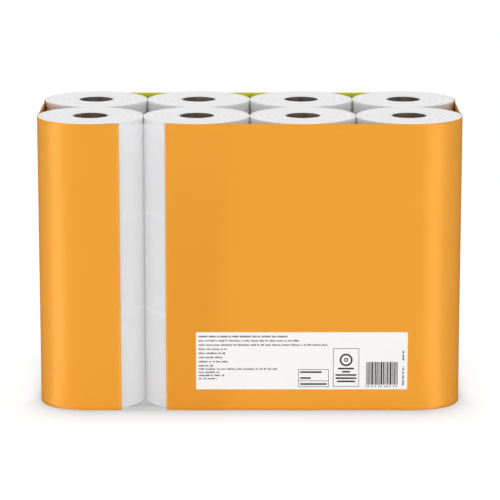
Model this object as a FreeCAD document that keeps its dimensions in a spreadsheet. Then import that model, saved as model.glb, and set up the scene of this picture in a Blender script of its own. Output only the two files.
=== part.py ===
import FreeCAD, Part
import os

import Sketcher

# Twenty-four rolls of toilet paper in one printed film sleeve.
# X runs along the columns, Y from the label side to the display side, and Z up.
# The origin is the middle of the base. Every length is in millimetres.

COLUMNS = 4
ROW_NAMES = ("back", "front")
TIER_NAMES = ("bottom", "middle", "top")

# Driving dimensions, each set by itself.
DRIVING_SIZES = {
    # One roll: outside, height (the sheet's width) and how far its soft edges fall away.
    "roll_diameter": 107,
    "roll_height": 98,
    "roll_edge_bevel": 1,
    "bore_edge_bevel": 0.6,
    # Clearance between one roll and the next in a tier.
    "roll_gap": 0.3,
    # The cardboard tube, whose outside is the bore of the paper.
    "core_diameter": 36,
    "core_wall": 0.7,
    "core_recess": 0.4,
    # Shallow rings on a roll's ends, where groups of its turns meet.
    "turn_ring_spacing": 7,
    "turn_ring_width": 1.1,
    "turn_ring_depth": 0.35,
    # The film sleeve and the ink on it.
    "film_gap": 0.2,
    "film_thickness": 0.2,
    "ink_thickness": 0.1,
    "window_width": 45.5,
    # The white label, from the pack's right end and from the ground.
    "label_width": 213.4,
    "label_height": 59.4,
    "label_foot": 22,
    "label_side_margin": 55.8,
    # Lines of text on the label, the long notice first and the small address below it.
    "text_margin": 2.6,
    "text_drop": 4.4,
    "text_height": 1.7,
    "notice_line_pitch": 4.33,
    "address_line_pitch": 3.34,
    # Lengths of the lines, from the top.
    "notice_line_1": 91,
    "notice_line_2": 102,
    "notice_line_3": 130,
    "notice_line_4": 29,
    "notice_line_5": 28,
    "notice_line_6": 24,
    "notice_line_7": 30,
    "notice_line_8": 15,
    "address_line_1": 80,
    "address_line_2": 21,
    "address_line_3": 26,
    "address_line_4": 19,
    # Text on end at the label's right edge.
    "side_text_margin": 3.4,
    "side_text_foot": 4.4,
    "side_text_long": 20.3,
    "side_text_space": 5.8,
    "side_text_short": 9.9,
    # Bar field, measured from the label's right edge.
    "barcode_margin": 9.7,
    "barcode_foot": 4.9,
    "barcode_width": 31.9,
    "barcode_height": 23.7,
    "barcode_foot_dash_height": 1.4,
    "barcode_foot_dash_drop": 2.4,
    # The two boxed marks beside it.
    "mark_line": 0.5,
    "tall_box_gap": 7.2,
    "tall_box_foot": 2.8,
    "tall_box_width": 26.3,
    "tall_box_height": 39.9,
    "tall_box_ring_diameter": 13,
    "tall_box_ring_hole": 9.4,
    "tall_box_hub_diameter": 4.4,
    "tall_box_hub_hole": 2.1,
    "tall_box_ring_drop": 12,
    "small_box_gap": 4.2,
    "small_box_foot": 2.5,
    "small_box_width": 30.9,
    "small_box_height": 18.5,
    "small_box_cell_height": 6.2,
    "small_box_inset": 2,
}

NOTICE_LINES = 8
ADDRESS_LINES = 4

# Lines inside the tall box from the top, and inside the small box from its foot, as
# shares of the room across.
TALL_BOX_LINES = (0.62, 0.3, 0.8, 0.8, 0.7)
SMALL_BOX_LINES = (1, 0.4, 0.8)

# Widths of the bars in the bar field, in units, each followed by a space one unit wide.
BAR_UNITS = (1, 1, 2, 1, 3, 1, 2, 2, 1, 1, 3, 2, 1, 1, 2, 1, 3, 1, 1, 2, 1, 1)
DASH_UNITS = 2

doc = FreeCAD.newDocument("toilet_paper_pack")
sheet = doc.addObject("Spreadsheet::Sheet", "sizes")


def fill_sheet():
    """Writes one row for each driving dimension: its name beside its value."""
    for row, (name, value) in enumerate(DRIVING_SIZES.items(), 1):
        sheet.set(f"A{row}", name)
        sheet.set(f"B{row}", str(value))
        sheet.setAlias(f"B{row}", name)
    doc.recompute()


class Size:
    """A length: the text from which the document works it out, and its value now."""

    def __init__(self, text, value):
        self.text = text
        self.value = value

    def __add__(self, other):
        return Size(f"{self.text} + {other.text}", self.value + other.value)

    def __sub__(self, other):
        return Size(f"{self.text} - ({other.text})", self.value - other.value)

    def __mul__(self, factor):
        return Size(f"({self.text}) * ({factor:g})", self.value * factor)

    def __neg__(self):
        return self * -1


def cell(name):
    return Size(f"sizes.{name}", float(sheet.get(name)))


def set_place(piece, x, y, z):
    """Puts a piece's origin at (x, y, z), tied to the sheet."""
    for axis, size in (("x", x), ("y", y), ("z", z)):
        piece.setExpression(f"Placement.Base.{axis}", size.text)


def origin_plane(body, role):
    return next(p for p in body.Origin.OriginFeatures if p.Role == role)


def new_sketch(body, role):
    sketch = body.newObject("Sketcher::SketchObject", body.Name + "_outline")
    sketch.AttachmentSupport = [(origin_plane(body, role), "")]
    sketch.MapMode = "FlatFace"
    return sketch


def tie_point(sketch, edge, end, sizes):
    """Holds a sketch point at its distances from the origin, tied to the sheet."""
    for kind, size in zip(("DistanceX", "DistanceY"), sizes):
        index = sketch.addConstraint(
            Sketcher.Constraint(kind, -1, 1, edge, end, size.value)
        )
        sketch.setExpression(f"Constraints[{index}]", size.text)


def vector(point):
    return FreeCAD.Vector(point[0].value, point[1].value, 0)


def turns_left(centre, start, end):
    return (start - centre).cross(end - centre).z > 0


def add_round(sketch, start, end, centre):
    """Adds the short arc from start to end about a centre.

    Gives the edge, then the numbers of the ends where it starts and where it stops.
    """
    middle, first, last = vector(centre), vector(start), vector(end)
    left = turns_left(middle, first, last)
    if not left:
        first, last = last, first
    circle = Part.Circle(middle, FreeCAD.Vector(0, 0, 1), (first - middle).Length)
    arc = Part.ArcOfCircle(circle, circle.parameter(first), circle.parameter(last))
    edge = sketch.addGeometry(arc)
    return (edge, 1, 2) if left else (edge, 2, 1)


def add_outline(sketch, steps):
    """Draws a closed outline. A step is (corner,), reached by a straight line,
    or (corner, centre), reached by a round about that centre."""
    corners = [step[0] for step in steps]
    edges = []
    for index, step in enumerate(steps):
        start = corners[index - 1]
        if len(step) == 2:
            edges.append(add_round(sketch, start, *step))
        else:
            line = Part.LineSegment(vector(start), vector(step[0]))
            edges.append((sketch.addGeometry(line), 1, 2))
    for index, (edge, _, stop) in enumerate(edges):
        following, begin, _ = edges[(index + 1) % len(edges)]
        sketch.addConstraint(
            Sketcher.Constraint("Coincident", edge, stop, following, begin)
        )
        tie_point(sketch, edge, stop, corners[index])
        if len(steps[index]) == 2:
            # Two ends and one distance of its centre fix an arc.
            across = steps[index][1][0]
            centre = sketch.addConstraint(
                Sketcher.Constraint("DistanceX", -1, 1, edge, 3, across.value)
            )
            sketch.setExpression(f"Constraints[{centre}]", across.text)


def turn_body(name, steps):
    """A body turned about Z from its half section."""
    body = doc.addObject("PartDesign::Body", name)
    sketch = new_sketch(body, "XZ_Plane")
    add_outline(sketch, steps)
    turned = body.newObject("PartDesign::Revolution", name + "_turned")
    turned.Profile = sketch
    turned.ReferenceAxis = (sketch, ["V_Axis"])
    turned.Angle = 360
    sketch.Visibility = False
    return body


def raise_body(name, outlines, height):
    """A body raised along Z from closed outlines; an inner one is a hole."""
    body = doc.addObject("PartDesign::Body", name)
    sketch = new_sketch(body, "XY_Plane")
    for steps in outlines:
        add_outline(sketch, steps)
    pad = body.newObject("PartDesign::Pad", name + "_raised")
    pad.Profile = sketch
    pad.setExpression("Length", height.text)
    sketch.Visibility = False
    return body


fill_sheet()

NOTHING = Size("0", 0.0)
COLUMN_PITCH = cell("roll_diameter") + cell("roll_gap")
PACK_HEIGHT = cell("roll_height") * len(TIER_NAMES)
# Centres of the corner rolls, and how far each layer reaches from them.
CORNER_X = COLUMN_PITCH * ((COLUMNS - 1) / 2)
CORNER_Y = COLUMN_PITCH * ((len(ROW_NAMES) - 1) / 2)
FILM_INSIDE = cell("roll_diameter") * 0.5 + cell("film_gap")
FILM_OUTSIDE = FILM_INSIDE + cell("film_thickness")
INK_OUTSIDE = FILM_OUTSIDE + cell("ink_thickness")


def roll_place(tier, row, column):
    x = COLUMN_PITCH * (column - (COLUMNS - 1) / 2)
    y = COLUMN_PITCH * (row - (len(ROW_NAMES) - 1) / 2)
    return x, y, cell("roll_height") * tier


def ring_radii():
    """Radii of the rings on a roll's end, as many as its paper has room for."""
    bore = cell("core_diameter") * 0.5
    spacing = cell("turn_ring_spacing")
    paper = cell("roll_diameter") * 0.5 - bore
    count = max(int(paper.value / spacing.value - 0.5), 0)
    return [bore + spacing * (ring + 1) for ring in range(count)]


def ring_corners(radius, face, depth, outwards):
    """The three corners of one ring's V, in the order that the outline takes."""
    half = cell("turn_ring_width") * (0.5 * outwards)
    return [(radius - half, face), (radius, face + depth), (radius + half, face)]


def make_roll(name):
    """Paper wound on a core: a thick ring with softened edges and ringed ends."""
    bore = cell("core_diameter") * 0.5
    side = cell("roll_diameter") * 0.5
    top = cell("roll_height")
    edge = cell("roll_edge_bevel")
    lip = cell("bore_edge_bevel")
    depth = cell("turn_ring_depth")
    radii = ring_radii()
    corners = [(bore, lip), (bore + lip, NOTHING)]
    for radius in radii:
        corners += ring_corners(radius, NOTHING, depth, 1)
    corners += [(side - edge, NOTHING), (side, edge), (side, top - edge), (side - edge, top)]
    for radius in reversed(radii):
        corners += ring_corners(radius, top, -depth, -1)
    corners += [(bore + lip, top), (bore, top - lip)]
    return turn_body(name, [(corner,) for corner in corners])


def make_core(name):
    """A cardboard tube, a little shorter than the paper wound on it."""
    outside = cell("core_diameter") * 0.5
    inside = outside - cell("core_wall")
    foot = cell("core_recess")
    head = cell("roll_height") - cell("core_recess")
    corners = ((inside, foot), (outside, foot), (outside, head), (inside, head))
    return turn_body(name, [(corner,) for corner in corners])


def make_rolls():
    """Every roll with its core, in columns, rows and tiers."""
    made = []
    for tier, tier_name in enumerate(TIER_NAMES):
        for row, row_name in enumerate(ROW_NAMES):
            for column in range(COLUMNS):
                where = f"{tier_name}_{row_name}_{column + 1}"
                for piece in (make_roll("roll_" + where), make_core("core_" + where)):
                    set_place(piece, *roll_place(tier, row, column))
                    made.append(piece)
    return made


def loop_outline(reach):
    """A band's outline round the four corner rolls, at a distance from their centres."""
    x, y = CORNER_X, CORNER_Y
    return [
        ((x, -y - reach),),
        ((x + reach, -y), (x, -y)),
        ((x + reach, y),),
        ((x, y + reach), (x, y)),
        ((-x, y + reach),),
        ((-x - reach, y), (-x, y)),
        ((-x - reach, -y),),
        ((-x, -y - reach), (-x, -y)),
    ]


def make_film():
    """The sleeve: one closed band of film round all the rolls, open at both ends."""
    outlines = [loop_outline(FILM_OUTSIDE), loop_outline(FILM_INSIDE)]
    return raise_body("film_sleeve", outlines, PACK_HEIGHT)


def window_edge(side):
    """The clear window lies over the gap between the first two columns."""
    middle = COLUMN_PITCH * (1 - COLUMNS / 2)
    return middle + cell("window_width") * (0.5 * side)


def make_orange(name, side):
    """Orange ink from the window round one end of the pack to the far corner."""
    edge = window_edge(side)
    x, y = CORNER_X * side, CORNER_Y
    outer, inner = INK_OUTSIDE, FILM_OUTSIDE
    steps = [
        ((edge, -y - outer),),
        ((x, -y - outer),),
        ((x + outer * side, -y), (x, -y)),
        ((x + outer * side, y),),
        ((x, y + outer), (x, y)),
        ((x, y + inner),),
        ((x + inner * side, y), (x, y)),
        ((x + inner * side, -y),),
        ((x, -y - inner), (x, -y)),
        ((edge, -y - inner),),
    ]
    return raise_body(name, [steps], PACK_HEIGHT)


def make_yellow():
    """Yellow ink on the display side, from corner to corner."""
    x, inner, outer = CORNER_X, CORNER_Y + FILM_OUTSIDE, CORNER_Y + INK_OUTSIDE
    corners = ((-x, inner), (x, inner), (x, outer), (-x, outer))
    return raise_body("yellow_print", [[(corner,) for corner in corners]], PACK_HEIGHT)


# The label side's faces: orange ink first, then the white panel, then dark ink on it.
LABEL_BACK = -CORNER_Y - INK_OUTSIDE
LABEL_FACE = LABEL_BACK - cell("ink_thickness")
LABEL_RIGHT = CORNER_X + INK_OUTSIDE - cell("label_side_margin")
LABEL_LEFT = LABEL_RIGHT - cell("label_width")
LABEL_FOOT = cell("label_foot")
LABEL_TOP = LABEL_FOOT + cell("label_height")


def patch(name, left, foot, width, height, back=LABEL_FACE):
    """A thin rectangle of ink whose back lies on a face of the label side."""
    box = doc.addObject("Part::Box", name)
    box.setExpression("Length", width.text)
    box.setExpression("Width", "sizes.ink_thickness")
    box.setExpression("Height", height.text)
    set_place(box, left, back - cell("ink_thickness"), foot)
    return box


def gather(name, pieces):
    """Separate patches of one kind as one sub-part."""
    group = doc.addObject("Part::Compound", name)
    group.Links = pieces
    return group


def ring_patch(name, x, z, outside, inside):
    """A thin ring of ink that faces the label side."""
    discs = []
    for part_name, diameter in (("_outside", outside), ("_inside", inside)):
        disc = doc.addObject("Part::Cylinder", name + part_name)
        disc.setExpression("Radius", (diameter * 0.5).text)
        disc.setExpression("Height", "sizes.ink_thickness")
        disc.Placement.Rotation = FreeCAD.Rotation(FreeCAD.Vector(1, 0, 0), 90)
        set_place(disc, x, LABEL_FACE, z)
        discs.append(disc)
    ring = doc.addObject("Part::Cut", name)
    ring.Base, ring.Tool = discs
    return ring


def frame_patch(name, left, foot, width, height):
    """A thin rectangular outline of ink."""
    line = cell("mark_line")
    outside = patch(name + "_outside", left, foot, width, height)
    inside = patch(
        name + "_inside", left + line, foot + line, width - line * 2, height - line * 2
    )
    frame = doc.addObject("Part::Cut", name)
    frame.Base, frame.Tool = outside, inside
    return frame


def make_text():
    """Each line of the label's text as one dark bar, the notice above the address."""
    left = LABEL_LEFT + cell("text_margin")
    height = cell("text_height")
    z = LABEL_TOP - cell("text_drop") - height * 0.5
    lines = []
    for kind, count in (("notice", NOTICE_LINES), ("address", ADDRESS_LINES)):
        for number in range(1, count + 1):
            if lines:
                z = z - cell(kind + "_line_pitch")
            name = f"{kind}_line_{number}"
            lines.append(patch(name + "_bar", left, z, cell(name), height))
    return gather("label_text", lines)


BARCODE_LEFT = LABEL_RIGHT - cell("barcode_margin") - cell("barcode_width")
TALL_BOX_LEFT = BARCODE_LEFT - cell("tall_box_gap") - cell("tall_box_width")
SMALL_BOX_LEFT = TALL_BOX_LEFT - cell("small_box_gap") - cell("small_box_width")


def make_barcode():
    """A plain field of bars with a row of dashes at its foot, which code nothing."""
    units = sum(BAR_UNITS) + len(BAR_UNITS) - 1
    unit = cell("barcode_width") * (1 / units)
    foot = LABEL_FOOT + cell("barcode_foot")
    dash_foot = foot - cell("barcode_foot_dash_drop")
    pieces = []
    x = BARCODE_LEFT
    for number, width in enumerate(BAR_UNITS, 1):
        pieces.append(
            patch(f"bar_{number}", x, foot, unit * width, cell("barcode_height"))
        )
        if number % 2:
            dash_height = cell("barcode_foot_dash_height")
            dash = patch(f"bar_dash_{number}", x, dash_foot, unit * DASH_UNITS, dash_height)
            pieces.append(dash)
        x = x + unit * (width + 1)
    return gather("label_barcode", pieces)


def make_tall_box():
    """An outlined mark: a ring, as a roll is from its end, over a few lines."""
    foot = LABEL_FOOT + cell("tall_box_foot")
    width, height = cell("tall_box_width"), cell("tall_box_height")
    middle = TALL_BOX_LEFT + width * 0.5
    ring_z = foot + height - cell("tall_box_ring_drop")
    pieces = [frame_patch("tall_box_frame", TALL_BOX_LEFT, foot, width, height)]
    for mark in ("ring", "hub"):
        outside, hole = cell(f"tall_box_{mark}_diameter"), cell(f"tall_box_{mark}_hole")
        pieces.append(ring_patch(f"tall_box_{mark}", middle, ring_z, outside, hole))
    z = ring_z - cell("tall_box_ring_diameter") * 0.5
    for number, share in enumerate(TALL_BOX_LINES, 1):
        z = z - cell("address_line_pitch")
        length = width * share
        left = middle - length * 0.5
        bar = patch(f"tall_box_line_{number}", left, z, length, cell("text_height"))
        pieces.append(bar)
    return gather("label_tall_box", pieces)


def make_small_box():
    """An outlined mark: one open cell with a line of text, and one closed cell below."""
    foot = LABEL_FOOT + cell("small_box_foot")
    width, height = cell("small_box_width"), cell("small_box_height")
    cell_height, line = cell("small_box_cell_height"), cell("mark_line")
    inset, text = cell("small_box_inset"), cell("text_height")
    left, room = SMALL_BOX_LEFT + inset, width - inset * 2
    rule = (SMALL_BOX_LEFT + line, foot + cell_height, width - line * 2, line)
    pieces = [
        frame_patch("small_box_frame", SMALL_BOX_LEFT, foot, width, height),
        patch("small_box_rule", *rule),
    ]
    z = foot + (cell_height - text) * 0.5
    for number, share in enumerate(SMALL_BOX_LINES, 1):
        pieces.append(patch(f"small_box_line_{number}", left, z, room * share, text))
        z = z + cell_height
    return gather("label_small_box", pieces)


def make_side_text():
    """Two lines of text that stand on end at the label's right edge."""
    height = cell("text_height")
    left = LABEL_RIGHT - cell("side_text_margin") - height
    foot = LABEL_FOOT + cell("side_text_foot")
    long = cell("side_text_long")
    above = foot + long + cell("side_text_space")
    pieces = [
        patch("side_text_lower", left, foot, height, long),
        patch("side_text_upper", left, above, height, cell("side_text_short")),
    ]
    return gather("label_side_text", pieces)


def make_label():
    panel = patch(
        "label_panel",
        LABEL_LEFT,
        LABEL_FOOT,
        cell("label_width"),
        cell("label_height"),
        back=LABEL_BACK,
    )
    marks = [make_small_box(), make_tall_box(), make_barcode()]
    return [panel, make_text(), *marks, make_side_text()]


def check(pieces):
    """Stops if any object failed, or if a sub-part's shape is missing or broken."""
    for item in doc.Objects:
        if "Invalid" in item.State or "Error" in item.State:
            raise RuntimeError(f"{item.Name} failed: {item.State}")
    for piece in pieces:
        if piece.Shape.isNull() or not piece.Shape.isValid():
            raise RuntimeError(f"{piece.Name} has no sound shape")


def main():
    pieces = make_rolls()
    pieces.append(make_film())
    pieces.append(make_orange("orange_print_left", -1))
    pieces.append(make_orange("orange_print_right", 1))
    pieces.append(make_yellow())
    pieces += make_label()
    doc.recompute()
    check(pieces)
    os.makedirs("parts", exist_ok=True)
    for piece in pieces:
        piece.Label = piece.Name
        piece.Shape.exportStep(f"parts/{piece.Label}.step")
    box = Part.makeCompound([piece.Shape for piece in pieces]).BoundBox
    print(len(pieces), "sub-parts, box", box)


main()
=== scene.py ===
# %% [markdown]
# # A pack of toilet paper in printed film
#
# This lesson dresses a modelled pack: 24 rolls on cardboard cores, held by one sleeve of
# clear film that carries orange and yellow ink, a white label and small dark print.
# The model is loaded as a fixed frame, in metres, and every new surface is worked out with
# numpy from the sizes that the frame gives, so nothing has to be fitted afterwards.

import math

import bpy
import numpy as np
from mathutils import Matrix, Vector


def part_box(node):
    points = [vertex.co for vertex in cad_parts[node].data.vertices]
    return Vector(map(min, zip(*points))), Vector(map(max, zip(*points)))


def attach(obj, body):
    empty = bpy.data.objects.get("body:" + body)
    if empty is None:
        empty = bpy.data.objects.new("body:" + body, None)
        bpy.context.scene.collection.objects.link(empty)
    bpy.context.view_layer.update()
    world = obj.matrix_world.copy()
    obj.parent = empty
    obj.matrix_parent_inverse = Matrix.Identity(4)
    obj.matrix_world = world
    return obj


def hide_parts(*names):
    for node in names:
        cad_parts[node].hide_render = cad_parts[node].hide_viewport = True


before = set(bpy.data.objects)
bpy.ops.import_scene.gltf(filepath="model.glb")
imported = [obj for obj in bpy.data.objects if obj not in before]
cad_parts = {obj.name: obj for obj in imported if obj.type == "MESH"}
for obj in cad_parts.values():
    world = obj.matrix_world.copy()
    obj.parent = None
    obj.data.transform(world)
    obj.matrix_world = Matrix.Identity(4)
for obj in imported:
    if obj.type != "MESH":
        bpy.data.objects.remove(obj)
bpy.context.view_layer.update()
MM = 0.001

# %% [markdown]
# ## Sizes
#
# Each size is read from the box of a node: the roll's radius and height, how far apart the
# columns stand, how far the film reaches round a corner roll, and where the clear window
# ends. A name is then worth more than a number, because it says what it measures.

# %% Read the sizes of the rolls and of the sleeve
PLACES = [
    f"{tier}_{row}_{column}"
    for tier in ("bottom", "middle", "top")
    for row in ("back", "front")
    for column in (1, 2, 3, 4)
]


def node_box(name):
    """Lowest and highest corner of a node as numpy arrays, in metres."""
    low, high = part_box(name)
    return np.array(low), np.array(high)


first_low, first_high = node_box("roll_bottom_back_1")
second_low, _ = node_box("roll_bottom_back_2")
core_low, core_high = node_box("core_bottom_back_1")
film_high = node_box("film_sleeve")[1]
orange_low, orange_high = node_box("orange_print_right")

ROLL_RADIUS = (first_high[0] - first_low[0]) / 2
ROLL_HEIGHT = first_high[2] - first_low[2]
PITCH = second_low[0] - first_low[0]
CORE_RADIUS = (core_high[0] - core_low[0]) / 2
CORE_WALL = 0.7 * MM
PACK_HEIGHT = film_high[2]
CORNER_X = 1.5 * PITCH
CORNER_Y = 0.5 * PITCH
FILM_REACH = film_high[0] - CORNER_X
INK_REACH = orange_high[0] - CORNER_X
WINDOW_LEFT = node_box("orange_print_left")[1][0]
WINDOW_RIGHT = orange_low[0]
print("roll radius", ROLL_RADIUS, "window", WINDOW_LEFT, WINDOW_RIGHT, "reach", FILM_REACH)

# %% [markdown]
# ## Camera
#
# The picture was taken with a long lens from far away, nearly level and looking a little
# down: the two rows of core holes give the angle, and the way the sides draw together
# towards the ground gives the distance. The camera looks square at the label side and is
# then moved a few millimetres down and to the right, which sets the pack a little high in
# the picture without turning any upright line.

# %% Place the camera
CAMERA_DOWN = math.radians(12.0)
CAMERA_DISTANCE = 26.139 * PITCH
CAMERA_LENS = 193.95
CAMERA_LOWER = 0.0343 * PITCH
CAMERA_RIGHT = 0.21 * MM

camera = bpy.data.objects.new("camera", bpy.data.cameras.new("camera"))
bpy.context.scene.collection.objects.link(camera)
camera.data.sensor_width = 36
camera.data.lens = CAMERA_LENS
camera.data.clip_end = 50
ahead = Vector((0, math.cos(CAMERA_DOWN), -math.sin(CAMERA_DOWN)))
above = Vector((0, math.sin(CAMERA_DOWN), math.cos(CAMERA_DOWN)))
camera.location = Vector((0, 0, PACK_HEIGHT / 2)) - ahead * CAMERA_DISTANCE
camera.location += Vector((CAMERA_RIGHT, 0, 0)) - above * CAMERA_LOWER
camera.rotation_euler = (math.pi / 2 - CAMERA_DOWN, 0, 0)
bpy.context.scene.camera = camera
print("camera at", tuple(round(v, 3) for v in camera.location))

# %% [markdown]
# ## Stage
#
# The pack stands on a pale floor under a pale sky, as in a photographer's light tent, so
# nearly all of its light is soft and comes from everywhere. A camera ray that misses the
# pack sees plain white. For the camera the floor is mostly a glow of its own, less a
# painted shadow that darkens it towards the pack's foot, so it goes white away from the
# pack and a soft, neutral painted shadow lies round the foot.

# %% Helpers for node trees


def math_node(tree, operation, first, second=None):
    """One arithmetic node; an operand is a socket or a plain number."""
    node = tree.nodes.new("ShaderNodeMath")
    node.operation = operation
    for index, value in enumerate((first, second)):
        if isinstance(value, (int, float)):
            node.inputs[index].default_value = value
        elif value is not None:
            tree.links.new(value, node.inputs[index])
    return node.outputs[0]


def smooth_range(tree, value, low, high):
    """Nought below low, one above high, and a smooth rise between."""
    node = tree.nodes.new("ShaderNodeMapRange")
    node.interpolation_type = "SMOOTHSTEP"
    node.inputs["From Min"].default_value = low
    node.inputs["From Max"].default_value = high
    tree.links.new(value, node.inputs["Value"])
    return node.outputs["Result"]


def split_axes(tree, vector):
    node = tree.nodes.new("ShaderNodeSeparateXYZ")
    tree.links.new(vector, node.inputs[0])
    return node.outputs


def coordinates(tree, kind):
    return tree.nodes.new("ShaderNodeTexCoord").outputs[kind]


# %% Build the floor
FLOOR_SIZE = 14.0
FLOOR_COLOUR = (0.93, 0.93, 0.93, 1)
SEEN_COLOUR = (0.15, 0.15, 0.15, 1)
FLOOR_GLOW = 0.90
# Painted shadow on the floor: how dark it is at the foot, how dark at most, and how fast it fades.
FOOT_PAINTED_SHADOW = 0.40
DEEPEST_PAINTED_SHADOW = 0.78
PAINTED_SHADOW_FADE = 6.4 * MM
FRONT_STRETCH = 3.9


def beyond(tree, position, half):
    """How far a coordinate lies beyond half a width, on either side."""
    past = math_node(tree, "SUBTRACT", math_node(tree, "ABSOLUTE", position), half)
    return math_node(tree, "MAXIMUM", past, 0.0)


def length_of(tree, first, second):
    """Root of the sum of two squares."""
    squares = [math_node(tree, "MULTIPLY", side, side) for side in (first, second)]
    return math_node(tree, "SQRT", math_node(tree, "ADD", *squares))


def foot_distance(tree):
    """Distance from the sleeve's foot, counted so that the painted shadow reaches further in
    front of the pack and behind it than beside it.

    The plain distance is the length of how far a point lies beyond the corner rolls'
    centres, less the sleeve's reach. It is multiplied by that length and divided by the
    same length with its front-to-back part stretched.
    """
    axes = split_axes(tree, coordinates(tree, "Object"))
    across = beyond(tree, axes["X"], CORNER_X)
    deep = beyond(tree, axes["Y"], CORNER_Y)
    plain = length_of(tree, across, deep)
    stretched = length_of(tree, across, math_node(tree, "MULTIPLY", deep, FRONT_STRETCH))
    share = math_node(tree, "DIVIDE", plain, math_node(tree, "MAXIMUM", stretched, MM))
    return math_node(tree, "MULTIPLY", math_node(tree, "SUBTRACT", plain, FILM_REACH), share)


def glow_less_painted_shadow(tree):
    """The full glow less a painted shadow that falls off as exp of minus the foot's distance."""
    # Painted shadow: the glow is cut by exp of minus the distance from the foot.
    away = math_node(tree, "DIVIDE", foot_distance(tree), -PAINTED_SHADOW_FADE)
    shade = math_node(tree, "MULTIPLY", math_node(tree, "EXPONENT", away), FOOT_PAINTED_SHADOW)
    shade = math_node(tree, "MINIMUM", shade, DEEPEST_PAINTED_SHADOW)
    return math_node(tree, "SUBTRACT", FLOOR_GLOW, shade)


def make_floor():
    """A flat square just under the pack: pale for light that bounces, and for camera rays
    a darker surface that glows, less a painted shadow near the pack's foot."""
    half = FLOOR_SIZE / 2
    corners = [(-half, -half, 0), (half, -half, 0), (half, half, 0), (-half, half, 0)]
    mesh = bpy.data.meshes.new("floor")
    mesh.from_pydata(corners, [], [(0, 1, 2, 3)])
    floor = bpy.data.objects.new("floor", mesh)
    bpy.context.scene.collection.objects.link(floor)
    floor.visible_glossy = False
    material = bpy.data.materials.new("floor")
    material.use_nodes = True
    tree = material.node_tree
    tree.nodes.clear()
    lit, seen = (tree.nodes.new("ShaderNodeBsdfDiffuse") for _ in range(2))
    lit.inputs["Color"].default_value = FLOOR_COLOUR
    seen.inputs["Color"].default_value = SEEN_COLOUR
    emission = tree.nodes.new("ShaderNodeEmission")
    tree.links.new(glow_less_painted_shadow(tree), emission.inputs["Strength"])
    glowing = tree.nodes.new("ShaderNodeAddShader")
    tree.links.new(seen.outputs[0], glowing.inputs[0])
    tree.links.new(emission.outputs[0], glowing.inputs[1])
    camera_ray = tree.nodes.new("ShaderNodeLightPath").outputs["Is Camera Ray"]
    choose = tree.nodes.new("ShaderNodeMixShader")
    tree.links.new(camera_ray, choose.inputs[0])
    tree.links.new(lit.outputs[0], choose.inputs[1])
    tree.links.new(glowing.outputs[0], choose.inputs[2])
    output = tree.nodes.new("ShaderNodeOutputMaterial")
    tree.links.new(choose.outputs[0], output.inputs["Surface"])
    mesh.materials.append(material)


make_floor()

# %% [markdown]
# ## Sky and lamps
#
# The upright highlights on the rounded corners are reflections of tall soft boxes. A real
# one would stand beside the pack and reach down past the table's edge, so here they are
# drawn in the sky, for reflections only: a bright upright strip at each azimuth where a
# box would stand. Plain lamps in front and at the sides, no higher than the pack, and one
# straight above it add the little direction that the light has, and leave the hollows
# between the rolls' ends to the sky.

# %% Build the sky and the lamps
SKY_LIGHT = 0.66
SKY_REFLECTED = 0.08
SKY_SEEN = 1.02
STRIP_LIGHT = 3.8
# Azimuths, in degrees from the camera's side, where each soft box fades in and out.
SOFT_BOXES = ((-100, -86, -72, -48), (26, 52, 66, 82))


def soft_boxes(tree):
    """One at each soft box's azimuth and nought between, for any height."""
    axes = split_axes(tree, coordinates(tree, "Generated"))
    towards = math_node(tree, "MULTIPLY", axes["Y"], -1.0)
    azimuth = math_node(tree, "DEGREES", math_node(tree, "ARCTAN2", axes["X"], towards))
    total = 0.0
    for fade_in, full, fading, gone in SOFT_BOXES:
        rise = smooth_range(tree, azimuth, fade_in, full)
        fall = smooth_range(tree, azimuth, fading, gone)
        total = math_node(tree, "ADD", math_node(tree, "SUBTRACT", rise, fall), total)
    return total


def make_sky():
    """White where it is seen, strips where it is mirrored, and softer where it lights."""
    world = bpy.data.worlds.new("sky")
    bpy.context.scene.world = world
    world.cycles.sampling_method = "NONE"
    world.use_nodes = True
    tree = world.node_tree
    tree.nodes.clear()
    path = tree.nodes.new("ShaderNodeLightPath")
    camera_ray, through_glass = path.outputs["Is Camera Ray"], path.outputs["Is Transmission Ray"]
    seen = math_node(tree, "MAXIMUM", camera_ray, through_glass)
    mirrored = math_node(tree, "MULTIPLY", soft_boxes(tree), STRIP_LIGHT)
    mirrored = math_node(tree, "ADD", mirrored, SKY_REFLECTED - SKY_LIGHT)
    mirrored = math_node(tree, "MULTIPLY", mirrored, path.outputs["Is Glossy Ray"])
    lit = math_node(tree, "ADD", mirrored, SKY_LIGHT)
    white = math_node(tree, "MULTIPLY", math_node(tree, "SUBTRACT", SKY_SEEN, lit), seen)
    background = tree.nodes.new("ShaderNodeBackground")
    background.inputs["Color"].default_value = (1, 1, 1, 1)
    tree.links.new(math_node(tree, "ADD", lit, white), background.inputs["Strength"])
    output = tree.nodes.new("ShaderNodeOutputWorld")
    tree.links.new(background.outputs[0], output.inputs["Surface"])


def make_lamp(name, place, width, height, watts, target=(0, 0, 0.15)):
    """A soft rectangular lamp at a place, turned to face a target."""
    data = bpy.data.lights.new(name, "AREA")
    data.shape = "RECTANGLE"
    data.size, data.size_y, data.energy = width, height, watts
    lamp = bpy.data.objects.new(name, data)
    bpy.context.scene.collection.objects.link(lamp)
    lamp.location = place
    lamp.rotation_euler = (Vector(target) - Vector(place)).to_track_quat("-Z", "Y").to_euler()
    lamp.visible_glossy = False
    lamp.visible_camera = False


make_sky()
# Name, place, width, height and watts of each lamp.
for lamp in (
    ("front_lamp", (0.15, -3.2, 0.1), 2.4, 0.4, 45),
    ("left_lamp", (-2.6, -0.5, 0.15), 1.2, 0.4, 12.5),
    ("right_lamp", (2.6, -0.5, 0.15), 1.2, 0.4, 5),
    ("top_lamp", (0, 0, 3.0), 0.8, 0.6, 22, (0, 0, 0)),
):
    make_lamp(*lamp)
bpy.context.scene.view_settings.view_transform = "Standard"
print("world", bpy.context.scene.world.name, "soft boxes", len(SOFT_BOXES))

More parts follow.
